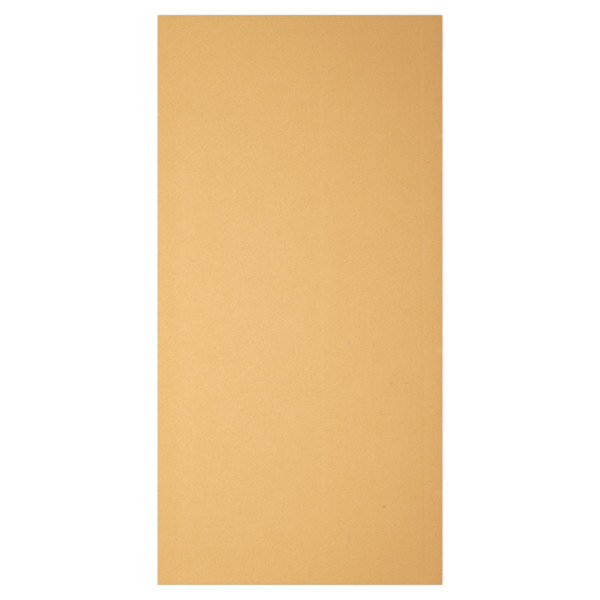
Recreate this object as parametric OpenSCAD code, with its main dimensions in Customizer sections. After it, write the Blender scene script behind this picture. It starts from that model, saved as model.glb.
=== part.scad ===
// Particle board sheet: wood chips and resin pressed into one panel, sanded on both faces and sawn square.
// It lies flat on its underside. The origin is the middle of the underside, +Y runs along the length, +Z is up.
// All sizes are in millimetres.

/* [Sheet] */
// Width of the sheet, 4 ft in the trade
sheet_w = 1219; // [600:1:2500]
// Length of the sheet, 8 ft in the trade
sheet_l = 2438; // [1200:1:5000]
// Thickness after sanding, 3/4 in in the trade
sheet_t = 19; // [6:0.5:40]

/* [Edges] */
// Bevel left by handling where a sanded face meets a sawn edge
arris_w = 0.5; // [0.1:0.1:2]
// Bevel left by handling where two sawn edges meet at a corner
corner_w = 1.5; // [0.1:0.1:10]

/* [Finish] */
// Colour of the sanded chips
board_color = "#E6B777"; // [#E6B777:Honey, #D9B98C:Pale, #B98A56:Dark]

/* [Hidden] */

// Rectangle about the origin, with a 45 degree bevel across each corner
module bevelled_rectangle(size, bevel) {
    right = size.x / 2;
    top = size.y / 2;
    polygon([
        [right, top - bevel],
        [right - bevel, top],
        [bevel - right, top],
        [-right, top - bevel],
        [-right, bevel - top],
        [bevel - right, -top],
        [right - bevel, -top],
        [right, bevel - top],
    ]);
}

// Outline of the sawn sheet as seen from above, pressed to its thickness
module sawn_outline() {
    linear_extrude(sheet_t)
        bevelled_rectangle([sheet_w, sheet_l], corner_w);
}

// Section across the width, carried along the length, which bevels the two long arrises of each face
module section_across() {
    translate([0, sheet_l / 2, sheet_t / 2])
        rotate([90, 0, 0])
            linear_extrude(sheet_l)
                bevelled_rectangle([sheet_w, sheet_t], arris_w);
}

// Section along the length, carried across the width, which bevels the two short arrises of each face
module section_along() {
    translate([-sheet_w / 2, 0, sheet_t / 2])
        rotate([90, 0, 90])
            linear_extrude(sheet_w)
                bevelled_rectangle([sheet_l, sheet_t], arris_w);
}

// The whole sheet is one solid: what the outline and both sections have in common
module board() {
    color(board_color)
        intersection() {
            sawn_outline();
            section_across();
            section_along();
        }
}

board();
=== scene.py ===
"""Particle board sheet: pressed wood chips, sanded on both faces and sawn on four edges.

It lies flat on the floor of a plain studio, and the camera looks straight down on it.
"""

from collections import namedtuple

import bmesh
import bpy
from bpy.props import FloatProperty, FloatVectorProperty, IntProperty, PointerProperty
from mathutils import Matrix, Vector, noise


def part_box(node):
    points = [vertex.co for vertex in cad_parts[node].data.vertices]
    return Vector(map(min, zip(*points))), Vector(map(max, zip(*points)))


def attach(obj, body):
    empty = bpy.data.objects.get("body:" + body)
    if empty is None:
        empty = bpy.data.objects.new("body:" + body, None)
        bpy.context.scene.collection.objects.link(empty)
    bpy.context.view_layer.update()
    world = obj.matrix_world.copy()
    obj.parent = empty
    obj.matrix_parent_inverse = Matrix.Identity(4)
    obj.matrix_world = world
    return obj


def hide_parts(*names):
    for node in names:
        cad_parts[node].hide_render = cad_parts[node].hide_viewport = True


bl_info = {
    "name": "Particle Board Sheet",
    "version": (1, 0, 0),
    "blender": (4, 5, 0),
    "location": "3D View > Sidebar > Particle Board",
    "description": "Saws, tears and finishes a particle board sheet, and sets its studio stage",
    "category": "Object",
}

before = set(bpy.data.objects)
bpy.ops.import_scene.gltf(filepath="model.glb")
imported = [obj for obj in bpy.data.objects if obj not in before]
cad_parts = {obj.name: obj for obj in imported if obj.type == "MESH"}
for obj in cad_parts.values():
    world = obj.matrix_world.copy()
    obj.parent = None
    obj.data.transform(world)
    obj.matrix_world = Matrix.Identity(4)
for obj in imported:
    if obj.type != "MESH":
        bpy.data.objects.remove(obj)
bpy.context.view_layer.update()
SHEET_LOW, SHEET_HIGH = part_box("board")
SHEET_SIZE = SHEET_HIGH - SHEET_LOW
SHEET_MIDDLE = (SHEET_LOW + SHEET_HIGH) / 2
HALF_WIDTH = SHEET_SIZE.x / 2
HALF_LENGTH = SHEET_SIZE.y / 2

MM = 0.001

# Kinds of values: a mark and its kind, crumbs along an arris, waves of noise, and a smooth change
Mark = namedtuple("Mark", "across along wide tall depth turn", defaults=(0.0,))
MarkKind = namedtuple("MarkKind", "marks softness colour")
Crumbs = namedtuple("Crumbs", "spacing start end share shift")
Waves = namedtuple("Waves", "per_metre detail roughness", defaults=(2.0, 0.5))
Change = namedtuple("Change", "start end first last", defaults=(0.0, 1.0))

# What all the steps of finishing one sanded face work on
Face = namedtuple("Face", "tree effects finish place patch rim")

# Cells over the faces, and finer columns, rings and rows round the sawn rim
CELLS_ACROSS = 24
CELLS_ALONG = 48
CELL_SIZE = SHEET_SIZE.x / CELLS_ACROSS
COLUMNS_IN_CELL = 20
RIM_RINGS = (2.5 * MM, 5 * MM, 10 * MM)
RIM_WIDTH = RIM_RINGS[-1]
EDGE_ROWS = 14
EASE_SEGMENTS = 2
TINY = 1e-6

# How far a direction has to lean to count as along a side, up from a sanded face or out of a sawn edge
LEANS_ALONG = 0.9
LEANS_UP = 0.7
LEANS_OUT = 0.3

# Tearing of the sawn core: steps and gaps between chips, and patches where chips are lost.
# The fade into the core is in depths of the face layer, and the edge of a gap is in chips.
CORE_FADE = (0.6, 1.4)
CHIP_SHUFFLE = 61.7
GAP_EDGE = (0.0, 0.22)
GAP_SHARE = 0.35
LOST_PATCHES = 0.55
LOST_EDGE = (0.18, 0.5)
LOST_SHARE = 0.65
RIPPLE_LENGTH = 3 * MM
RIPPLE_DEPTH = 0.08 * MM

# Wear of the arrises: an even share, small and large crumbs, and the press of straps
EVEN_WEAR = 0.18
SMALL_CRUMBS = Crumbs(7 * MM, 0.25, 0.75, 0.6, Vector((11.3, 4.7, 2.9)))
LARGE_CRUMBS = Crumbs(38 * MM, 0.45, 0.85, 0.8, Vector((3.1, 8.8, 6.4)))
CRUMB_HEIGHT = 2.2 * MM
CRUMB_ON_FACE = 0.7
STRAP_EDGE = (0.25, 0.75)
STRAP_HEIGHT = 3 * MM

# The bake's map: both faces side by side, and the sawn edges as strips drawn wider than they are
MAP_NAME = "OFBake"
MAP_GAP = 12 * MM
STRIP_STRETCH = 3

# Marks on the upper face, in metres from the middle of the sheet and turned in radians.
# The depth is how strongly a mark shows. A line with a depth below zero is darker than the face.
BARK_SPECKS = (
    Mark(0.360, -0.883, 0.010, 0.006, 0.61, 0.35),
    Mark(0.014, 0.721, 0.005, 0.005, 0.24),
    Mark(0.550, 0.588, 0.012, 0.008, 0.13),
    Mark(0.250, -0.434, 0.006, 0.005, 0.14),
    Mark(-0.577, -0.622, 0.006, 0.005, 0.16),
    Mark(0.209, 0.982, 0.006, 0.009, 0.15),
    Mark(0.209, 0.905, 0.006, 0.014, 0.13),
    Mark(0.209, 0.422, 0.005, 0.006, 0.27),
    Mark(0.211, -0.998, 0.006, 0.010, 0.14),
    Mark(0.211, -1.018, 0.005, 0.030, 0.10),
    Mark(0.212, -1.036, 0.006, 0.014, 0.16),
)
DARK_DASHES = (
    Mark(0.391, -0.357, 0.022, 0.007, 0.17),
    Mark(0.455, -0.356, 0.019, 0.007, 0.20),
)
GREY_RUBS = (
    Mark(0.211, 0.982, 0.006, 0.012, 0.09),
    Mark(0.211, 0.905, 0.006, 0.012, 0.07),
    Mark(0.211, -0.181, 0.008, 0.027, 0.33),
    Mark(0.211, -1.019, 0.007, 0.048, 0.17),
)
STRAP_RUBS = (
    Mark(0.602, 0.699, 0.044, 0.022, 0.20),
    Mark(0.602, -0.214, 0.044, 0.020, 0.22),
    Mark(0.602, -0.823, 0.044, 0.018, 0.17),
)
SCUFFS = (
    Mark(0.026, 0.839, 0.100, 0.042, 0.020, 0.30),
    Mark(0.160, 0.905, 0.142, 0.014, 0.036, 0.44),
    Mark(0.260, 0.983, 0.090, 0.014, 0.024, 1.06),
    Mark(0.332, 1.070, 0.058, 0.016, 0.030, 0.73),
    Mark(0.066, 0.965, 0.096, 0.012, 0.034, 0.20),
    Mark(0.158, 0.997, 0.079, 0.014, 0.042, 0.51),
    Mark(-0.041, 1.151, 0.086, 0.016, 0.034),
    Mark(0.042, 1.134, 0.080, 0.012, 0.024, 0.63),
    Mark(-0.129, 0.913, 0.133, 0.012, 0.022),
)
PALE_RUBS = (
    Mark(0.530, 0.222, 0.013, 0.120, 0.09),
    Mark(0.543, 0.222, 0.016, 0.130, 0.04),
)
MARK_KINDS = (
    MarkKind(SCUFFS, 0.6, "bark"),
    MarkKind(PALE_RUBS, 0.5, "strap"),
    MarkKind(STRAP_RUBS, 0.5, "strap"),
    MarkKind(GREY_RUBS, 0.45, "rub"),
    MarkKind(DARK_DASHES, 0.4, "bark"),
    MarkKind(BARK_SPECKS, 0.35, "bark"),
)
SANDER_LINES = (
    Mark(0.0955, 0.000, 0.015, 2.600, 0.70, 0.0052),
    Mark(0.523, 0.760, 0.012, 1.100, 1.20, 0.0070),
    Mark(0.519, 1.090, 0.018, 0.300, 0.50, 0.0070),
    Mark(0.537, -0.560, 0.018, 1.400, 0.55, 0.0070),
    Mark(0.525, -0.560, 0.009, 1.400, -1.30, 0.0070),
    Mark(-0.500, 0.000, 0.026, 2.600, 0.35),
)
LINE_SOFTNESS = 0.5
LINE_AMOUNT = 0.15

# Painted light on the upper face: a paler left side under the softbox, and painted shade in the right
# corners
PAINTED_LIT_SIDE = (Mark(-0.600, -0.198, 1.296, 2.320, 1.0),)
PAINTED_LIT_SOFTNESS = 0.39
PAINTED_SHADE_SHARE = 0.15
# Painted shade: outside this middle oval the face darkens towards its corners
UNSHADED_MIDDLE = (Mark(-0.600, -0.070, 2.780, 2.920, 1.0),)
UNSHADED_SOFTNESS = 0.24

# Patterns of the sanded faces, in chips, flecks or waves to the metre
MIDDLE_TONE = 0.5
FINE_CHIPS = 600
FLAKES = 190
FLAKE_STRETCH = (1.0, 0.55, 1.0)
SLIVERS = 170
SLIVER_TURNS = (0.25, 1.35, 2.40)
SLIVER_SLIMNESS = 4.0
SLIVER_BODY = Change(0.32, 0.42, 1.0, 0.0)
TONE_DRIFT = Waves(7, 6, 0.9)
HUE_DRIFT = Waves(12, 5, 0.75)
HUE_DRIFT_AMOUNT = 0.5
HUE_DRIFT_SHIFT = (5.0, 5.0, 0.0)
BELT_STREAKS = Waves(14, 6, 0.75)
BELT_STRETCH = (1.0, 0.004, 1.0)
FLECKS = 22
FLECK_SLIMNESS = 2.2
FLECK_SIZE = Change(0.55, 1.0, 0.0, 0.055)
FLECK_STRENGTH = Change(0.0, 1.0, 0.4, 1.0)
FLECK_EDGE = Waves(700, 3)
FLECK_RAGGED = 0.10

# Finish of the sanded faces
MOTTLE_AMOUNTS = {"Fine": 0.60, "Flake": 0.20, "Drift": 0.6, "Fine Hue": 1.3, "Sliver": 0.66}
STREAK_AMOUNT = 0.20
FLECK_SPREAD = 0.24
GOLDEN_SHARE = 0.28
RIGHT_BAND = Change(0.0, 0.055, -0.15, 0.0)
LEFT_BAND = Change(0.0, 0.110, -0.12, 0.0)
# Painted shade along the arrises: a ragged, darker and greyer band on each face beside the sawn edges
ARRIS_SHADE_EDGE = Waves(130, 5, 0.65)
ARRIS_SHADE_RAGGED = 9 * MM
SIDE_ARRIS_SHADE = Change(0.5 * MM, 5.5 * MM, 0.5, 0.0)
END_ARRIS_SHADE = Change(3 * MM, 9 * MM, 0.5, 0.0)
FACE_ROUGHNESS = Change(0.2, 0.8, 0.56, 0.46)
FACE_GLOSS = 0.5
FACE_RELIEF = 0.05 * MM
FACE_RELIEF_STRENGTH = 0.35
UNDERSIDE_SHIFT = 7

# Patterns of the sawn edges, in chips or waves to the metre, each flatter than it is wide
CHIP_TILT = Waves(55, 1)
TILT_HEIGHT = 6 * MM
COARSE_CHIPS = 105
COARSE_FLATNESS = 6.5
SMALL_CHIPS = 290
SMALL_FLATNESS = 4.5
BROKEN_CHIPS = Change(0.30, 0.36)
CORE_TONE = Change(0.0, 0.7, 0.05, 1.0)
CORE_GOLDEN_SHARE = 0.3
FIBRES = Waves(420, 3, 0.7)
FIBRE_FLATNESS = 8.0
FIBRE_AMOUNT = 0.9
SEAMS = Change(0.0, 0.05, 0.35, 0.0)
HOLLOWS = Waves(150)
HOLLOW_FLATNESS = 4.5
HOLLOW_OPENING = Change(0.67, 0.72)
HOLLOWS_AT_SEAMS = Change(0.0, 0.12, 0.09, 0.0)
PITS = Waves(300)
PIT_FLATNESS = 2.6
PIT_OPENING = Change(0.68, 0.73)
DUST = 800
DUST_FLATNESS = 2.6
DUST_AMOUNT = 0.6

# Finish of the sawn edges
LAYER_EDGE = Waves(180)
LAYER_RAGGED = 3 * MM
LAYER_FADE = 0.8 * MM
EDGE_ROUGHNESS = Change(0.0, 1.0, 0.92, 0.78)
EDGE_GLOSS = 0.3
EDGE_RELIEF = 0.35 * MM
EDGE_RELIEF_STRENGTH = 0.6

# The Mix node's sockets for colours, whose names its other sockets have too
MIX_SHARE = 0
MIX_FIRST = 6
MIX_SECOND = 7
MIX_RESULT = 2

# Floor and view of the stage
FLOOR_CELLS = 8
FLOOR_REACH = 30
FLOOR_DROP = 0.1 * MM
CONTACT_SAMPLES = 16
VIEW_END = 100
WHITE = (1.0, 1.0, 1.0)


# Settings


class EdgeWear(bpy.types.PropertyGroup):
    """Sizes of the sawn rim."""

    arris_ease: FloatProperty(
        name="Arris ease",
        description="Rounding where a sanded face meets a sawn edge",
        default=0.5 * MM,
        min=0.1 * MM,
        max=2 * MM,
        unit="LENGTH",
    )
    corner_ease: FloatProperty(
        name="Corner ease",
        description="Rounding where two sawn edges meet",
        default=1.5 * MM,
        min=0.1 * MM,
        max=10 * MM,
        unit="LENGTH",
    )
    chip_length: FloatProperty(
        name="Core chip length",
        description="Usual length of a chip that the saw has cut in the core",
        default=9 * MM,
        min=5 * MM,
        max=30 * MM,
        unit="LENGTH",
    )
    chip_height: FloatProperty(
        name="Core chip height",
        description="Usual thickness of a chip that the saw has cut in the core",
        default=2.4 * MM,
        min=1 * MM,
        max=6 * MM,
        unit="LENGTH",
    )
    face_layer: FloatProperty(
        name="Face layer",
        description="Depth of the fine, dense chips under each sanded face",
        default=3.2 * MM,
        min=0.5 * MM,
        max=6 * MM,
        unit="LENGTH",
    )
    chip_step: FloatProperty(
        name="Chip step",
        description="How much deeper one core chip may lie than the next",
        default=0.3 * MM,
        min=0,
        max=1 * MM,
        unit="LENGTH",
    )
    pit_depth: FloatProperty(
        name="Pit depth",
        description="Depth of the gaps that lost chips leave in the core",
        default=0.9 * MM,
        min=0,
        max=3 * MM,
        unit="LENGTH",
    )
    bite_depth: FloatProperty(
        name="Bite depth",
        description="Depth of the crumbs broken out of the arrises",
        default=0.8 * MM,
        min=0,
        max=3 * MM,
        unit="LENGTH",
    )
    strap_dent: FloatProperty(
        name="Strap dent",
        description="How far a strap has pressed the arris in at each rub",
        default=0.4 * MM,
        min=0,
        max=3 * MM,
        unit="LENGTH",
    )


def colour_setting(name, description, default):
    """A colour that a user may change."""
    return FloatVectorProperty(
        name=name,
        description=description,
        default=default,
        min=0,
        max=1,
        size=3,
        subtype="COLOR",
    )


def place_setting(name, description, default):
    """A place that a user may change."""
    return FloatVectorProperty(
        name=name,
        description=description,
        default=default,
        size=3,
        subtype="TRANSLATION",
        unit="LENGTH",
    )


class ChipFinish(bpy.types.PropertyGroup):
    """Colours of the sanded faces and the sawn edges."""

    deep_chip: colour_setting("Deep chips", "Darker chips of the sanded faces", (0.731, 0.424, 0.138))
    pale_chip: colour_setting("Pale chips", "Lighter chips of the sanded faces", (0.854, 0.540, 0.2325))
    golden_chip: colour_setting("Golden chips", "Stronger coloured chips", (0.830, 0.450, 0.070))
    # Painted shade: the deeper colour of the face away from its lit left side
    painted_shading: colour_setting("Painted shading", "The face away from its pale side", (0.907, 0.487, 0.117))
    # Painted shade: the darker tint of the corners at the right
    corner_shade: colour_setting("Painted corner shade", "Tint of the corners at the right", (0.955, 0.90, 0.86))
    bark: colour_setting("Bark", "Specks of bark among the chips", (0.20, 0.09, 0.012))
    rub: colour_setting("Rub", "Grey that dragged loads have left on the face", (0.40, 0.37, 0.33))
    strap: colour_setting("Strap rub", "Pale fibres where straps have rubbed", (0.95, 0.68, 0.36))
    # Painted shade: the darker, greyer colour of each face along its arrises
    arris_shade: colour_setting("Arris shade", "Painted shade on the arris round the sanded faces", (0.51, 0.41, 0.21))
    core_pale: colour_setting("Pale core", "Lightest chips of the sawn core", (0.86, 0.63, 0.36))
    core_brown: colour_setting("Brown core", "Darkest chips of the sawn core", (0.42, 0.235, 0.095))
    # Painted shade: the dark colour that hollows, pits and seams of the core take
    gap: colour_setting("Gaps", "Shaded gaps between core chips", (0.12, 0.062, 0.026))
    grain_seed: IntProperty(
        name="Grain",
        description="Which patch of chips the sheet is cut from",
        default=3,
        min=0,
        max=100,
    )


class StudioStage(bpy.types.PropertyGroup):
    """Light, floor and camera of the stage."""

    key_power: FloatProperty(
        name="Key power",
        description="Power of the softbox beside the camera",
        default=59,
        min=0,
        max=500,
        subtype="POWER",
    )
    key_size: FloatProperty(
        name="Key size",
        description="Side of the softbox, which is square",
        default=2.4,
        min=0.1,
        max=10,
        unit="LENGTH",
    )
    key_place: place_setting("Key place", "Where the softbox hangs", (-0.63, -0.18, 2.94))
    key_aim: place_setting("Key aim", "Where the softbox points", (-2.62, -0.39, 0))
    key_colour: colour_setting("Key colour", "Colour of the softbox", (0.83, 0.98, 1.0))
    fill_strength: FloatProperty(
        name="Fill strength",
        description="Strength of the even light from all round",
        default=0.588,
        min=0,
        max=2,
    )
    fill_colour: colour_setting("Fill colour", "Colour of the even light", (1.0, 0.84, 0.706))
    floor_colour: colour_setting("Floor colour", "Colour of the studio floor", (0.80, 0.80, 0.80))
    floor_shade: FloatProperty(
        name="Floor shade",
        description="How much of the floor's light and shadow the camera sees",
        default=0.4,
        min=0,
        max=1,
        subtype="FACTOR",
    )
    floor_glow: colour_setting("Floor glow", "Light added to what the camera sees", (0.82, 0.85, 0.87))
    contact_shade: FloatProperty(
        name="Contact shade",
        description="How much of that added light the floor loses close beside the sheet",
        default=0.45,
        min=0,
        max=1,
        subtype="FACTOR",
    )
    contact_reach: FloatProperty(
        name="Contact reach",
        description="How far from the sheet the floor loses light",
        default=0.3,
        min=0.01,
        max=2,
        unit="LENGTH",
    )
    camera_height: FloatProperty(
        name="Camera height",
        description="Height of the camera above the upper face",
        default=4.990,
        min=2,
        max=20,
        unit="LENGTH",
    )
    lens: FloatProperty(
        name="Lens",
        description="Focal length of the camera",
        default=70,
        min=20,
        max=200,
        unit="CAMERA",
    )


# Mesh of the sheet


def finished_mesh(name, bm):
    """A mesh made from a bmesh, which is freed."""
    mesh = bpy.data.meshes.new(name)
    bm.to_mesh(mesh)
    bm.free()
    return mesh


def added(name, data):
    """An object in the scene that shows a mesh, a lamp or a camera."""
    item = bpy.data.objects.new(name, data)
    bpy.context.scene.collection.objects.link(item)
    return item


def cut_through(bm, place, direction):
    """Cuts every face that a plane crosses, and keeps both sides."""
    bmesh.ops.bisect_plane(
        bm,
        geom=bm.verts[:] + bm.edges[:] + bm.faces[:],
        dist=TINY,
        plane_co=place,
        plane_no=direction,
    )


def ease(bm, edges, amount):
    """Rounds edges over."""
    bmesh.ops.bevel(
        bm,
        geom=edges,
        offset=amount,
        offset_type="OFFSET",
        affect="EDGES",
        segments=EASE_SEGMENTS,
        profile=0.5,
        material=-1,
    )


def climb(edge):
    """How much higher one end of an edge is than the other."""
    return abs(edge.verts[0].co.z - edge.verts[1].co.z)


def squared_blank(bm, wear):
    """A blank of the sheet's own size, with its corners and arrises eased."""
    place = Matrix.Translation(SHEET_MIDDLE) @ Matrix.Diagonal((*SHEET_SIZE, 1))
    bmesh.ops.create_cube(bm, size=1, matrix=place)
    upright = [edge for edge in bm.edges if climb(edge) > SHEET_SIZE.z / 2]
    ease(bm, upright, wear.corner_ease)
    level = [edge for edge in bm.edges if climb(edge) < TINY]
    ease(bm, level, wear.arris_ease)


def cell_cuts(bm, wear):
    """Cuts the blank into cells over its faces, rings round its rim and rows up its edges."""
    across = [SHEET_LOW.x + SHEET_SIZE.x * step / CELLS_ACROSS for step in range(1, CELLS_ACROSS)]
    along = [SHEET_LOW.y + SHEET_SIZE.y * step / CELLS_ALONG for step in range(1, CELLS_ALONG)]
    for ring in RIM_RINGS:
        across += [SHEET_LOW.x + ring, SHEET_HIGH.x - ring]
        along += [SHEET_LOW.y + ring, SHEET_HIGH.y - ring]
    for x in across:
        cut_through(bm, (x, 0, 0), (1, 0, 0))
    for y in along:
        cut_through(bm, (0, y, 0), (0, 1, 0))
    lowest = SHEET_LOW.z + wear.arris_ease
    wall = SHEET_SIZE.z - 2 * wear.arris_ease
    for row in range(1, EDGE_ROWS):
        cut_through(bm, (0, 0, lowest + wall * row / EDGE_ROWS), (0, 0, 1))


def follows_rim(edge):
    """Whether a cell's edge runs along a side of the sheet, in the rings or on the sawn edge."""
    first, second = (vert.co - SHEET_MIDDLE for vert in edge.verts)
    middle = (first + second) / 2
    run = first - second
    near_side = HALF_WIDTH - abs(middle.x) < RIM_WIDTH + TINY
    near_end = HALF_LENGTH - abs(middle.y) < RIM_WIDTH + TINY
    whole_cell = run.length > CELL_SIZE / 2
    along_side = near_side and abs(run.y) > LEANS_ALONG * run.length
    along_end = near_end and abs(run.x) > LEANS_ALONG * run.length
    return whole_cell and (along_side or along_end)


def fine_rim(bm):
    """Divides the rim into columns fine enough for single chips."""
    rim = [edge for edge in bm.edges if follows_rim(edge)]
    bmesh.ops.subdivide_edges(bm, edges=rim, cuts=COLUMNS_IN_CELL - 1)


def regions_of(bm):
    """The part of the sheet that each face belongs to."""
    regions = {}
    for face in bm.faces:
        way = face.normal
        if abs(way.z) > LEANS_UP:
            regions[face] = "top" if way.z > 0 else "underside"
        elif abs(way.x) > abs(way.y):
            regions[face] = "right" if way.x > 0 else "left"
        else:
            regions[face] = "far" if way.y > 0 else "near"
    return regions


def eased_step(value, start, end):
    """0 up to start, 1 from end on, and a smooth rise between them."""
    share = min(1, max(0, (value - start) / (end - start)))
    return share * share * (3 - 2 * share)


def as_share(level):
    """Noise between -1 and 1 as a share from 0 to 1."""
    return 0.5 + 0.5 * level


def depth_from_face(place):
    """How deep a place lies under the nearer sanded face."""
    return min(place.z - SHEET_LOW.z, SHEET_HIGH.z - place.z)


def torn_depth(place, wear):
    """How deep the saw has torn the edge at a place."""
    core_start, core_end = (share * wear.face_layer for share in CORE_FADE)
    core = eased_step(depth_from_face(place), core_start, core_end)
    chip = Vector((place.x / wear.chip_length, place.y / wear.chip_length, place.z / wear.chip_height))
    distances, centres = noise.voronoi(chip)
    step = wear.chip_step * as_share(noise.cell(centres[0] * CHIP_SHUFFLE))
    gap = 1 - eased_step(distances[1] - distances[0], *GAP_EDGE)
    lost = eased_step(noise.noise(chip * LOST_PATCHES), *LOST_EDGE)
    pit = wear.pit_depth * (GAP_SHARE * gap + LOST_SHARE * lost)
    ripple = RIPPLE_DEPTH * as_share(noise.noise(place / RIPPLE_LENGTH))
    return ripple + core * (step + pit)


def bite_share(place):
    """How much of the arris has crumbled away at a place, from 0 to 1."""
    total = EVEN_WEAR
    for crumbs in (SMALL_CRUMBS, LARGE_CRUMBS):
        level = noise.noise(place / crumbs.spacing + crumbs.shift)
        total += crumbs.share * eased_step(level, crumbs.start, crumbs.end)
    return min(1, total)


def strap_share(place):
    """How hard a strap has pressed at a place along the right-hand arris, from 0 to 1."""
    return max(1 - eased_step(abs(place.y - rub.along) / rub.tall, *STRAP_EDGE) for rub in STRAP_RUBS)


def torn_move(place, normal, wear):
    """How far a point of the rim moves for torn chips, broken crumbs and the press of straps."""
    move = Vector()
    depth = depth_from_face(place)
    outward = Vector((normal.x, normal.y, 0))
    sawn = outward.length > LEANS_OUT
    if sawn:
        outward.normalize()
        move -= outward * torn_depth(place, wear)
        near_arris = 1 - eased_step(depth, wear.arris_ease, CRUMB_HEIGHT)
        move -= outward * near_arris * wear.bite_depth * bite_share(place)
    from_side = min(HALF_WIDTH - abs(place.x), HALF_LENGTH - abs(place.y))
    if from_side < RIM_RINGS[0] / 2 and depth < wear.arris_ease + TINY:
        towards_core = Vector((0, 0, -1 if place.z > SHEET_MIDDLE.z else 1))
        on_face = 1 - depth / (2 * wear.arris_ease)
        move += towards_core * on_face * wear.bite_depth * CRUMB_ON_FACE * bite_share(place)
    if HALF_WIDTH - place.x < RIM_WIDTH and place.z > SHEET_MIDDLE.z:
        inboard = 1 - eased_step(HALF_WIDTH - place.x, 0, RIM_WIDTH)
        upper = 1 - eased_step(SHEET_HIGH.z - place.z, 0, STRAP_HEIGHT)
        press = wear.strap_dent * strap_share(place) * inboard * upper
        move += Vector((-press if sawn else 0, 0, -press))
    return move


def tear_rim(bm, wear):
    """Tears and wears the sawn rim."""
    bm.normal_update()
    moves = [torn_move(vert.co, vert.normal, wear) for vert in bm.verts]
    for vert, move in zip(bm.verts, moves):
        vert.co += move


def lay_out_map(bm, regions):
    """Lays both faces side by side on the bake's map, with the sawn edges as strips beside them."""
    layer = bm.loops.layers.uv.new(MAP_NAME)
    strip = SHEET_SIZE.z * STRIP_STRETCH
    width = 2 * SHEET_SIZE.x + 3 * strip + 6 * MAP_GAP
    height = SHEET_SIZE.y + 3 * MAP_GAP
    starts = {"top": MAP_GAP, "underside": SHEET_SIZE.x + 2 * MAP_GAP}
    first_strip = 2 * SHEET_SIZE.x + 3 * MAP_GAP
    for order, names in enumerate((("right",), ("left",), ("far", "near"))):
        for name in names:
            starts[name] = first_strip + order * (strip + MAP_GAP)
    for face, region in regions.items():
        for loop in face.loops:
            place = loop.vert.co - SHEET_LOW
            if region == "top":
                spot = Vector((place.x, place.y))
            elif region == "underside":
                spot = Vector((SHEET_SIZE.x - place.x, place.y))
            elif region in ("right", "left"):
                spot = Vector((place.z * STRIP_STRETCH, place.y))
            else:
                shift = SHEET_SIZE.x + MAP_GAP if region == "near" else 0
                spot = Vector((place.z * STRIP_STRETCH, place.x + shift))
            loop[layer].uv = ((starts[region] + spot.x) / width, (MAP_GAP + spot.y) / height)


def corner_places(element):
    """Where the corners of an edge or a face are, from the lowest numbers up."""
    return sorted(vert.co[:] for vert in element.verts)


def settle_order(bm):
    """Puts points, edges and faces in the order of their places, which the operators leave to chance."""
    keys = ((bm.verts, lambda vert: vert.co[:]), (bm.edges, corner_places), (bm.faces, corner_places))
    for elements, key in keys:
        for index, element in enumerate(sorted(elements, key=key)):
            element.index = index
        elements.sort()


def sawn_sheet_mesh(wear):
    """The whole sheet as one closed mesh."""
    bm = bmesh.new()
    squared_blank(bm, wear)
    cell_cuts(bm, wear)
    fine_rim(bm)
    bm.normal_update()
    regions = regions_of(bm)
    slots = {"top": 0, "underside": 1}
    for face, region in regions.items():
        face.material_index = slots.get(region, len(slots))
        face.smooth = region not in slots
    tear_rim(bm, wear)
    lay_out_map(bm, regions)
    bm.normal_update()
    settle_order(bm)
    return finished_mesh("sawn_board", bm)


# Shader wiring


def emptied_tree(owner):
    """The node tree of a material or a world, with nothing in it."""
    owner.use_nodes = True
    owner.node_tree.nodes.clear()
    return owner.node_tree


def add_node(tree, kind, **settings):
    """Adds a node with its settings."""
    node = tree.nodes.new(kind)
    for name, value in settings.items():
        setattr(node, name, value)
    return node


def feed(tree, socket, value):
    """Joins a socket to another one, or sets it to a plain value."""
    if isinstance(value, bpy.types.NodeSocket):
        tree.links.new(value, socket)
    else:
        socket.default_value = value


def with_alpha(colour):
    """A colour setting as a socket's four numbers."""
    return (*colour, 1.0)


def maths(tree, operation, *values, clamp=False):
    """A sum, product or other result of numbers."""
    node = add_node(tree, "ShaderNodeMath", operation=operation, use_clamp=clamp)
    for socket, value in zip(node.inputs, values):
        feed(tree, socket, value)
    return node.outputs[0]


def combined(tree, operation, values):
    """One number made from several, two at a time."""
    total = values[0]
    for value in values[1:]:
        total = maths(tree, operation, total, value)
    return total


def vector_maths(tree, operation, *values):
    """A sum, product or other result of vectors."""
    node = add_node(tree, "ShaderNodeVectorMath", operation=operation)
    for socket, value in zip(node.inputs, values):
        feed(tree, socket, value)
    return node.outputs["Value" if operation == "LENGTH" else "Vector"]


def blended(tree, share, first, second, way="MIX"):
    """One colour over another, by a share from 0 to 1."""
    node = add_node(tree, "ShaderNodeMix", data_type="RGBA", blend_type=way)
    feed(tree, node.inputs[MIX_SHARE], share)
    feed(tree, node.inputs[MIX_FIRST], first)
    feed(tree, node.inputs[MIX_SECOND], second)
    return node.outputs[MIX_RESULT]


def changed(tree, value, change):
    """A number that goes smoothly from first to last while a value goes from start to end."""
    node = add_node(tree, "ShaderNodeMapRange", interpolation_type="SMOOTHSTEP")
    for socket, setting in zip(node.inputs, (value, *change)):
        feed(tree, socket, setting)
    return node.outputs[0]


def noise_value(tree, place, waves, dimensions="3D"):
    """Soft noise from 0 to 1."""
    node = add_node(tree, "ShaderNodeTexNoise", noise_dimensions=dimensions)
    feed(tree, node.inputs["Vector"], place)
    node.inputs["Scale"].default_value = waves.per_metre
    node.inputs["Detail"].default_value = waves.detail
    node.inputs["Roughness"].default_value = waves.roughness
    return node.outputs[0]


def chip_cells(tree, place, per_metre, feature="F1", dimensions="3D"):
    """Cells as close together as chips."""
    node = add_node(tree, "ShaderNodeTexVoronoi", feature=feature, voronoi_dimensions=dimensions)
    feed(tree, node.inputs["Vector"], place)
    node.inputs["Scale"].default_value = per_metre
    return node.outputs


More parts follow.
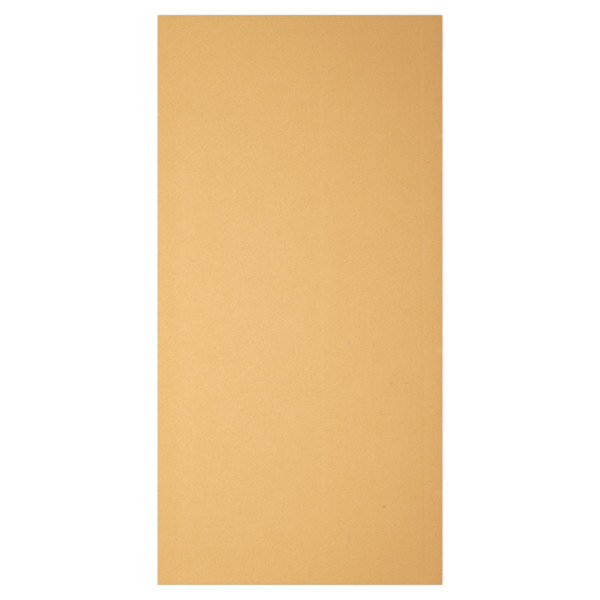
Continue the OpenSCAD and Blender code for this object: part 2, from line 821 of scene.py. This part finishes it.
def cell_numbers(tree, cells):
    """The random numbers that each cell has, named Red, Green and Blue."""
    node = add_node(tree, "ShaderNodeSeparateColor")
    feed(tree, node.inputs[0], cells["Color"])
    return node.outputs


def about_zero(tree, value, amount):
    """A number from 0 to 1 turned into a share above or below zero."""
    return maths(tree, "MULTIPLY", maths(tree, "SUBTRACT", value, 0.5), amount)


def scaled_place(tree, place, factors):
    """A place stretched along each axis."""
    return vector_maths(tree, "MULTIPLY", place, factors)


def pressed(tree, place, flatness):
    """A place stretched upwards, so that round cells become flat ones."""
    return scaled_place(tree, place, (1.0, 1.0, flatness))


def lying(tree, place, turn, slimness):
    """A place turned one way and stretched, so that round cells become slivers."""
    turned = add_node(tree, "ShaderNodeVectorRotate", rotation_type="Z_AXIS")
    feed(tree, turned.inputs["Vector"], place)
    turned.inputs["Angle"].default_value = turn
    return scaled_place(tree, turned.outputs[0], (1.0, slimness, 1.0))


def split_place(tree, place):
    """The three numbers of a place, named X, Y and Z."""
    node = add_node(tree, "ShaderNodeSeparateXYZ")
    feed(tree, node.inputs[0], place)
    return node.outputs


def new_group(name, inputs, outputs):
    """An empty node group, with a place and numbers to take in and numbers to put out."""
    tree = bpy.data.node_groups.new(name, "ShaderNodeTree")
    tree.interface.new_socket("Place", in_out="INPUT", socket_type="NodeSocketVector")
    for label, kind in inputs.items():
        tree.interface.new_socket(label, in_out="INPUT", socket_type=kind)
    for label in outputs:
        tree.interface.new_socket(label, in_out="OUTPUT", socket_type="NodeSocketFloat")
    start = add_node(tree, "NodeGroupInput").outputs
    end = add_node(tree, "NodeGroupOutput").inputs
    return tree, start, end


def placed_group(tree, group, values):
    """A node group in a material, with its values set or joined."""
    node = add_node(tree, "ShaderNodeGroup", node_tree=group)
    for label, value in values.items():
        feed(tree, node.inputs[label], value)
    return node.outputs


# Shared effects


def slivers(tree, place, turn, amount):
    """Short slivers that lie one way, each darker or lighter than what is round it."""
    cells = chip_cells(tree, lying(tree, place, turn, SLIVER_SLIMNESS), SLIVERS, dimensions="2D")
    body = changed(tree, cells["Distance"], SLIVER_BODY)
    return maths(tree, "MULTIPLY", about_zero(tree, cell_numbers(tree, cells)["Red"], amount), body)


def chip_mottle_group():
    """Fine chips, larger flakes, slivers and a slow drift of tone and hue over a sanded face."""
    amounts = dict.fromkeys(MOTTLE_AMOUNTS, "NodeSocketFloat")
    tree, start, end = new_group("Chip Mottle", amounts, ("Tone", "Golden", "Height"))
    place = start["Place"]
    chips = cell_numbers(tree, chip_cells(tree, place, FINE_CHIPS, dimensions="2D"))
    stretched = scaled_place(tree, place, FLAKE_STRETCH)
    flakes = cell_numbers(tree, chip_cells(tree, stretched, FLAKES, dimensions="2D"))
    drift = noise_value(tree, place, TONE_DRIFT, "2D")
    tone = maths(tree, "ADD", MIDDLE_TONE, about_zero(tree, chips["Red"], start["Fine"]))
    tone = maths(tree, "ADD", tone, about_zero(tree, flakes["Red"], start["Flake"]))
    tone = maths(tree, "ADD", tone, about_zero(tree, drift, start["Drift"]))
    for turn in SLIVER_TURNS:
        tone = maths(tree, "ADD", tone, slivers(tree, place, turn, start["Sliver"]))
    feed(tree, end["Tone"], tone)
    elsewhere = vector_maths(tree, "ADD", place, HUE_DRIFT_SHIFT)
    hue_drift = about_zero(tree, noise_value(tree, elsewhere, HUE_DRIFT, "2D"), HUE_DRIFT_AMOUNT)
    golden = maths(tree, "ADD", MIDDLE_TONE, hue_drift)
    golden = maths(tree, "ADD", golden, about_zero(tree, chips["Green"], start["Fine Hue"]))
    feed(tree, end["Golden"], golden)
    feed(tree, end["Height"], maths(tree, "ADD", chips["Red"], flakes["Red"]))
    return tree


def sander_streak_group():
    """Faint lines that the sanding belt has left along the length."""
    tree, start, end = new_group("Sander Streaks", {"Amount": "NodeSocketFloat"}, ("Tone",))
    stretched = scaled_place(tree, start["Place"], BELT_STRETCH)
    streaks = noise_value(tree, stretched, BELT_STREAKS, "2D")
    feed(tree, end["Tone"], about_zero(tree, streaks, start["Amount"]))
    return tree


def bark_fleck_group():
    """Scattered dark flecks of bark, ragged and lying as the slivers do."""
    tree, start, end = new_group("Bark Flecks", {"Spread": "NodeSocketFloat"}, ("Mask",))
    place = start["Place"]
    ragged = about_zero(tree, noise_value(tree, place, FLECK_EDGE, "2D"), FLECK_RAGGED)
    flecks = []
    for turn in SLIVER_TURNS:
        cells = chip_cells(tree, lying(tree, place, turn, FLECK_SLIMNESS), FLECKS, dimensions="2D")
        numbers = cell_numbers(tree, cells)
        size = changed(tree, numbers["Red"], FLECK_SIZE)
        body = maths(tree, "GREATER_THAN", size, maths(tree, "ADD", cells["Distance"], ragged))
        flecks.append(maths(tree, "MULTIPLY", body, changed(tree, numbers["Green"], FLECK_STRENGTH)))
    total = combined(tree, "MAXIMUM", flecks)
    feed(tree, end["Mask"], maths(tree, "MULTIPLY", total, start["Spread"]))
    return tree


def placed_mark_group():
    """A soft oval at one place on the face."""
    inputs = {
        "Middle": "NodeSocketVector",
        "Half Size": "NodeSocketVector",
        "Softness": "NodeSocketFloat",
        "Turn": "NodeSocketFloat",
    }
    tree, start, end = new_group("Placed Mark", inputs, ("Mask",))
    offset = vector_maths(tree, "SUBTRACT", start["Place"], start["Middle"])
    turned = add_node(tree, "ShaderNodeVectorRotate", rotation_type="Z_AXIS", invert=True)
    feed(tree, turned.inputs["Vector"], offset)
    feed(tree, turned.inputs["Angle"], start["Turn"])
    shares = vector_maths(tree, "DIVIDE", turned.outputs[0], start["Half Size"])
    flat = scaled_place(tree, shares, (1.0, 1.0, 0.0))
    reach = vector_maths(tree, "LENGTH", flat)
    inner = maths(tree, "SUBTRACT", 1.0, start["Softness"])
    outer = maths(tree, "ADD", 1.0, start["Softness"])
    feed(tree, end["Mask"], changed(tree, reach, Change(inner, outer, 1.0, 0.0)))
    return tree


def rim_distance_group():
    """Distance from a place on the face to the right and left sides, and to the nearer side and end."""
    tree, start, end = new_group("Rim Distance", {}, ("Right", "Left", "Side", "End"))
    place = split_place(tree, start["Place"])
    right = maths(tree, "SUBTRACT", SHEET_HIGH.x, place["X"])
    left = maths(tree, "SUBTRACT", place["X"], SHEET_LOW.x)
    far = maths(tree, "SUBTRACT", SHEET_HIGH.y, place["Y"])
    near = maths(tree, "SUBTRACT", place["Y"], SHEET_LOW.y)
    feed(tree, end["Right"], right)
    feed(tree, end["Left"], left)
    feed(tree, end["Side"], maths(tree, "MINIMUM", right, left))
    feed(tree, end["End"], maths(tree, "MINIMUM", far, near))
    return tree


# Materials


def new_material(name):
    """A material with its shader and the object's own coordinates."""
    material = bpy.data.materials.new(name)
    tree = emptied_tree(material)
    shader = add_node(tree, "ShaderNodeBsdfPrincipled")
    tree.links.new(shader.outputs[0], add_node(tree, "ShaderNodeOutputMaterial").inputs["Surface"])
    place = add_node(tree, "ShaderNodeTexCoord").outputs["Object"]
    return material, tree, shader, place


def raised(tree, shader, height, distance, strength):
    """Raises the surface by a height from 0 to 1 times a distance in metres."""
    bump = add_node(tree, "ShaderNodeBump")
    bump.inputs["Strength"].default_value = strength
    bump.inputs["Distance"].default_value = distance
    feed(tree, bump.inputs["Height"], height)
    tree.links.new(bump.outputs[0], shader.inputs["Normal"])


def marks_mask(face, marks, softness):
    """Marks on a sanded face as one mask."""
    masks = []
    for mark in marks:
        values = {
            "Place": face.place,
            "Middle": (mark.across, mark.along, 0),
            "Half Size": (mark.wide / 2, mark.tall / 2, 1),
            "Softness": softness,
            "Turn": mark.turn,
        }
        mask = placed_group(face.tree, face.effects["mark"], values)["Mask"]
        masks.append(maths(face.tree, "MULTIPLY", mask, mark.depth))
    return combined(face.tree, "ADD", masks)


def sanded_tone(face, mottle, upper):
    """Tone of the chips, with streaks along the length and a darker band at either side."""
    tree = face.tree
    values = {"Place": face.patch, "Amount": STREAK_AMOUNT}
    streaks = placed_group(tree, face.effects["streaks"], values)["Tone"]
    tone = maths(tree, "ADD", mottle["Tone"], streaks)
    if upper:
        lines = marks_mask(face, SANDER_LINES, LINE_SOFTNESS)
        tone = maths(tree, "ADD", tone, maths(tree, "MULTIPLY", lines, LINE_AMOUNT))
    right_band = changed(tree, face.rim["Right"], RIGHT_BAND)
    left_band = changed(tree, face.rim["Left"], LEFT_BAND)
    return maths(tree, "ADD", tone, maths(tree, "ADD", right_band, left_band))


def sanded_colour(face, tone, golden):
    """Colour of the chips, from deep to pale with their tone, and some of them golden."""
    tree = face.tree
    finish = face.finish
    colour = blended(tree, tone, with_alpha(finish.deep_chip), with_alpha(finish.pale_chip))
    share = maths(tree, "MULTIPLY", golden, GOLDEN_SHARE)
    return blended(tree, share, colour, with_alpha(finish.golden_chip))


def painted_shading(face, colour):
    """Painted light and shade: the face deepens in colour away from its paler left side under the
    softbox, and darkens in its corners.
    """
    tree = face.tree
    # Painted light: the pale oval is the left side where the softbox falls; away from it the colour
    # deepens as painted shade
    pale = marks_mask(face, PAINTED_LIT_SIDE, PAINTED_LIT_SOFTNESS)
    share = maths(tree, "MULTIPLY", maths(tree, "SUBTRACT", 1.0, pale), PAINTED_SHADE_SHARE)
    colour = blended(tree, share, colour, with_alpha(face.finish.painted_shading))
    # Painted shade: outside the unshaded middle the colour darkens towards the corners at the right
    unshaded = marks_mask(face, UNSHADED_MIDDLE, UNSHADED_SOFTNESS)
    corner_shade = maths(tree, "SUBTRACT", 1.0, unshaded)
    return blended(tree, corner_shade, colour, with_alpha(face.finish.corner_shade), "MULTIPLY")


def flecked(face, colour):
    """Flecks of bark among the chips."""
    values = {"Place": face.patch, "Spread": FLECK_SPREAD}
    flecks = placed_group(face.tree, face.effects["flecks"], values)["Mask"]
    return blended(face.tree, flecks, colour, with_alpha(face.finish.bark))


def arris_shaded(face, colour):
    """Ragged painted shade along the arrises: a darker, greyer band where each face rounds over."""
    tree = face.tree
    ragged = about_zero(tree, noise_value(tree, face.place, ARRIS_SHADE_EDGE), ARRIS_SHADE_RAGGED)
    side = changed(tree, maths(tree, "ADD", face.rim["Side"], ragged), SIDE_ARRIS_SHADE)
    end = changed(tree, maths(tree, "ADD", face.rim["End"], ragged), END_ARRIS_SHADE)
    return blended(tree, maths(tree, "MAXIMUM", side, end), colour, with_alpha(face.finish.arris_shade))


def handled(face, colour):
    """Scuffs, pale and grey rubs, the rubs of straps, dashes and specks."""
    for kind in MARK_KINDS:
        mask = marks_mask(face, kind.marks, kind.softness)
        colour = blended(face.tree, mask, colour, with_alpha(getattr(face.finish, kind.colour)))
    return colour


def sanded_material(name, effects, finish, patch, upper):
    """A sanded face: chips, streaks, flecks and painted shade along the arrises, with painted light and
    shade and marks on the upper one.
    """
    material, tree, shader, place = new_material(name)
    moved = vector_maths(tree, "ADD", place, patch)
    rim = placed_group(tree, effects["rim"], {"Place": place})
    face = Face(tree, effects, finish, place, moved, rim)
    mottle = placed_group(tree, effects["mottle"], {"Place": moved, **MOTTLE_AMOUNTS})
    tone = sanded_tone(face, mottle, upper)
    colour = sanded_colour(face, tone, mottle["Golden"])
    if upper:
        colour = painted_shading(face, colour)
    colour = flecked(face, colour)
    # Painted shade along the arrises
    colour = arris_shaded(face, colour)
    if upper:
        colour = handled(face, colour)
    feed(tree, shader.inputs["Base Color"], colour)
    feed(tree, shader.inputs["Roughness"], changed(tree, tone, FACE_ROUGHNESS))
    shader.inputs["Specular IOR Level"].default_value = FACE_GLOSS
    raised(tree, shader, mottle["Height"], FACE_RELIEF, FACE_RELIEF_STRENGTH)
    return material


def tilted(tree, place):
    """A place moved up or down a little, so that the chips don't all lie level."""
    tilt = about_zero(tree, noise_value(tree, place, CHIP_TILT), TILT_HEIGHT)
    rise = add_node(tree, "ShaderNodeCombineXYZ")
    feed(tree, rise.inputs["Z"], tilt)
    return vector_maths(tree, "ADD", place, rise.outputs[0])


def core_chips(tree, place, finish):
    """Colour and tone of coarse flat chips, some of them broken into small ones."""
    coarse = cell_numbers(tree, chip_cells(tree, pressed(tree, place, COARSE_FLATNESS), COARSE_CHIPS))
    small = cell_numbers(tree, chip_cells(tree, pressed(tree, place, SMALL_FLATNESS), SMALL_CHIPS))
    broken = changed(tree, coarse["Green"], BROKEN_CHIPS)
    tone = changed(tree, blended(tree, broken, coarse["Red"], small["Red"]), CORE_TONE)
    fibres = noise_value(tree, pressed(tree, place, FIBRE_FLATNESS), FIBRES)
    tone = maths(tree, "ADD", tone, about_zero(tree, fibres, FIBRE_AMOUNT))
    colour = blended(tree, tone, with_alpha(finish.core_brown), with_alpha(finish.core_pale))
    golden = maths(tree, "MULTIPLY", coarse["Blue"], CORE_GOLDEN_SHARE)
    return blended(tree, golden, colour, with_alpha(finish.golden_chip)), tone


def core_gaps(tree, place):
    """Mask of the hollows, pits and thin seams between core chips, which get painted shade."""
    coarse_place = pressed(tree, place, COARSE_FLATNESS)
    to_seam = chip_cells(tree, coarse_place, COARSE_CHIPS, "DISTANCE_TO_EDGE")["Distance"]
    hollows = noise_value(tree, pressed(tree, place, HOLLOW_FLATNESS), HOLLOWS)
    hollows = maths(tree, "ADD", hollows, changed(tree, to_seam, HOLLOWS_AT_SEAMS))
    pits = noise_value(tree, pressed(tree, place, PIT_FLATNESS), PITS)
    kinds = (
        changed(tree, hollows, HOLLOW_OPENING),
        changed(tree, pits, PIT_OPENING),
        changed(tree, to_seam, SEAMS),
    )
    return combined(tree, "MAXIMUM", kinds)


def in_core_mask(tree, place, wear):
    """1 in the core and 0 in the fine layers under both faces, with a ragged line between them."""
    off_middle = maths(tree, "SUBTRACT", split_place(tree, place)["Z"], SHEET_MIDDLE.z)
    ragged = about_zero(tree, noise_value(tree, place, LAYER_EDGE), LAYER_RAGGED)
    reach = maths(tree, "ADD", maths(tree, "ABSOLUTE", off_middle), ragged)
    layer_start = SHEET_SIZE.z / 2 - wear.face_layer
    return changed(tree, reach, Change(layer_start - LAYER_FADE, layer_start + LAYER_FADE, 1.0, 0.0))


def sawn_edge_material(finish, wear):
    """A sawn edge: coarse core chips lying flat between two layers of fine ones."""
    material, tree, shader, place = new_material("sawn_edge_chips")
    core_place = tilted(tree, place)
    core_colour, core_tone = core_chips(tree, core_place, finish)
    dust = cell_numbers(tree, chip_cells(tree, pressed(tree, place, DUST_FLATNESS), DUST))
    dust_tone = maths(tree, "ADD", MIDDLE_TONE, about_zero(tree, dust["Red"], DUST_AMOUNT))
    dust_colour = blended(tree, dust_tone, with_alpha(finish.core_brown), with_alpha(finish.core_pale))
    in_core = in_core_mask(tree, place, wear)
    gaps = maths(tree, "MULTIPLY", core_gaps(tree, core_place), in_core)
    colour = blended(tree, in_core, dust_colour, core_colour)
    # Painted shade: the hollows, pits and seams take the dark gap colour, standing in for the shadow
    # inside them
    colour = blended(tree, gaps, colour, with_alpha(finish.gap))
    tone = maths(tree, "SUBTRACT", blended(tree, in_core, dust_tone, core_tone), gaps)
    feed(tree, shader.inputs["Base Color"], colour)
    feed(tree, shader.inputs["Roughness"], changed(tree, tone, EDGE_ROUGHNESS))
    shader.inputs["Specular IOR Level"].default_value = EDGE_GLOSS
    raised(tree, shader, tone, EDGE_RELIEF, EDGE_RELIEF_STRENGTH)
    return material


# Stage


def seen_directly(tree):
    """1 for rays from the camera, a mirror or glass, and 0 for the light that falls on things."""
    path = add_node(tree, "ShaderNodeLightPath").outputs
    mirrored = maths(tree, "MAXIMUM", path["Is Glossy Ray"], path["Is Transmission Ray"])
    return maths(tree, "MAXIMUM", path["Is Camera Ray"], mirrored)


def pale_floor_material(stage):
    """A pale floor that the camera sees as white, apart from the sheet's soft shadow."""
    material = bpy.data.materials.new("pale_floor")
    tree = emptied_tree(material)
    seen = seen_directly(tree)
    pale = with_alpha(stage.floor_colour)
    shaded = with_alpha([part * stage.floor_shade for part in stage.floor_colour])
    lit = add_node(tree, "ShaderNodeBsdfDiffuse")
    feed(tree, lit.inputs["Color"], blended(tree, seen, pale, shaded))
    beside = add_node(tree, "ShaderNodeAmbientOcclusion", samples=CONTACT_SAMPLES)
    beside.inputs["Distance"].default_value = stage.contact_reach
    covered = maths(tree, "SUBTRACT", 1.0, beside.outputs["AO"])
    shade = maths(tree, "MULTIPLY", covered, stage.contact_shade)
    glow = add_node(tree, "ShaderNodeEmission")
    glow.inputs["Color"].default_value = with_alpha(stage.floor_glow)
    feed(tree, glow.inputs["Strength"], maths(tree, "SUBTRACT", seen, shade, clamp=True))
    both = add_node(tree, "ShaderNodeAddShader")
    tree.links.new(lit.outputs[0], both.inputs[0])
    tree.links.new(glow.outputs[0], both.inputs[1])
    tree.links.new(both.outputs[0], add_node(tree, "ShaderNodeOutputMaterial").inputs["Surface"])
    return material


def studio_floor(stage):
    """A wide floor just under the sheet."""
    bm = bmesh.new()
    bmesh.ops.create_grid(bm, x_segments=FLOOR_CELLS, y_segments=FLOOR_CELLS, size=FLOOR_REACH)
    bmesh.ops.translate(bm, verts=bm.verts, vec=(0, 0, SHEET_LOW.z - FLOOR_DROP))
    mesh = finished_mesh("studio_floor", bm)
    mesh.materials.append(pale_floor_material(stage))
    return added("studio_floor", mesh)


def studio_world(stage):
    """Even light from all round, which the camera sees as plain white."""
    world = bpy.data.worlds.new("studio_world")
    tree = emptied_tree(world)
    fill = add_node(tree, "ShaderNodeBackground")
    fill.inputs["Color"].default_value = with_alpha(stage.fill_colour)
    fill.inputs["Strength"].default_value = stage.fill_strength
    white = add_node(tree, "ShaderNodeBackground")
    white.inputs["Color"].default_value = with_alpha(WHITE)
    mix = add_node(tree, "ShaderNodeMixShader")
    feed(tree, mix.inputs[0], seen_directly(tree))
    tree.links.new(fill.outputs[0], mix.inputs[1])
    tree.links.new(white.outputs[0], mix.inputs[2])
    tree.links.new(mix.outputs[0], add_node(tree, "ShaderNodeOutputWorld").inputs["Surface"])
    bpy.context.scene.world = world


def key_softbox(stage):
    """A square softbox that points past the left side of the sheet."""
    lamp = bpy.data.lights.new("key_softbox", "AREA")
    lamp.shape = "SQUARE"
    lamp.size = stage.key_size
    lamp.energy = stage.key_power
    lamp.color = stage.key_colour
    holder = added("key_softbox", lamp)
    holder.location = stage.key_place
    direction = Vector(stage.key_aim) - Vector(stage.key_place)
    holder.rotation_euler = direction.to_track_quat("-Z", "Y").to_euler()
    holder.visible_camera = False


def camera_above(stage):
    """A camera that looks straight down, with the sheet's length upright in the picture."""
    lens = bpy.data.cameras.new("camera_above")
    lens.lens = stage.lens
    lens.clip_end = VIEW_END
    camera = added("camera_above", lens)
    camera.location = (SHEET_MIDDLE.x, SHEET_MIDDLE.y, SHEET_HIGH.z + stage.camera_height)
    bpy.context.scene.camera = camera


# Operators and panel


class BOARDSHEET_OT_saw(bpy.types.Operator):
    """Saws the sheet, tears its rim and finishes its faces and edges"""

    bl_idname = "board_sheet.saw"
    bl_label = "Saw the sheet"

    def execute(self, context):
        wear = context.scene.board_wear
        finish = context.scene.board_finish
        effects = {
            "mottle": chip_mottle_group(),
            "streaks": sander_streak_group(),
            "flecks": bark_fleck_group(),
            "mark": placed_mark_group(),
            "rim": rim_distance_group(),
        }
        upper_patch = (finish.grain_seed, 0, 0)
        lower_patch = (finish.grain_seed, UNDERSIDE_SHIFT, 0)
        mesh = sawn_sheet_mesh(wear)
        mesh.materials.append(sanded_material("sanded_face", effects, finish, upper_patch, True))
        mesh.materials.append(sanded_material("sanded_underside", effects, finish, lower_patch, False))
        mesh.materials.append(sawn_edge_material(finish, wear))
        sheet = added("sawn_board", mesh)
        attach(sheet, "root")
        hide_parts("board")
        return {"FINISHED"}


class BOARDSHEET_OT_stage(bpy.types.Operator):
    """Sets the pale floor, the soft light and the camera above the sheet"""

    bl_idname = "board_sheet.stage"
    bl_label = "Set the stage"

    def execute(self, context):
        stage = context.scene.board_stage
        context.scene.view_settings.view_transform = "Standard"
        studio_world(stage)
        studio_floor(stage)
        key_softbox(stage)
        camera_above(stage)
        return {"FINISHED"}


class BOARDSHEET_PT_sidebar(bpy.types.Panel):
    """The sheet's settings and steps"""

    bl_idname = "BOARDSHEET_PT_sidebar"
    bl_label = "Particle Board Sheet"
    bl_space_type = "VIEW_3D"
    bl_region_type = "UI"
    bl_category = "Particle Board"

    def draw(self, context):
        scene = context.scene
        for settings in (scene.board_wear, scene.board_finish, scene.board_stage):
            box = self.layout.box()
            for name in settings.__annotations__:
                box.prop(settings, name)
        self.layout.operator(BOARDSHEET_OT_saw.bl_idname)
        self.layout.operator(BOARDSHEET_OT_stage.bl_idname)


CLASSES = (
    EdgeWear,
    ChipFinish,
    StudioStage,
    BOARDSHEET_OT_saw,
    BOARDSHEET_OT_stage,
    BOARDSHEET_PT_sidebar,
)


def register():
    """Adds the settings, the operators and the panel."""
    for item in CLASSES:
        bpy.utils.register_class(item)
    bpy.types.Scene.board_wear = PointerProperty(type=EdgeWear)
    bpy.types.Scene.board_finish = PointerProperty(type=ChipFinish)
    bpy.types.Scene.board_stage = PointerProperty(type=StudioStage)


def unregister():
    """Takes them away again."""
    del bpy.types.Scene.board_stage
    del bpy.types.Scene.board_finish
    del bpy.types.Scene.board_wear
    for item in reversed(CLASSES):
        bpy.utils.unregister_class(item)


def main():
    register()
    bpy.ops.board_sheet.saw()
    bpy.ops.board_sheet.stage()


if __name__ == "__main__":
    main()
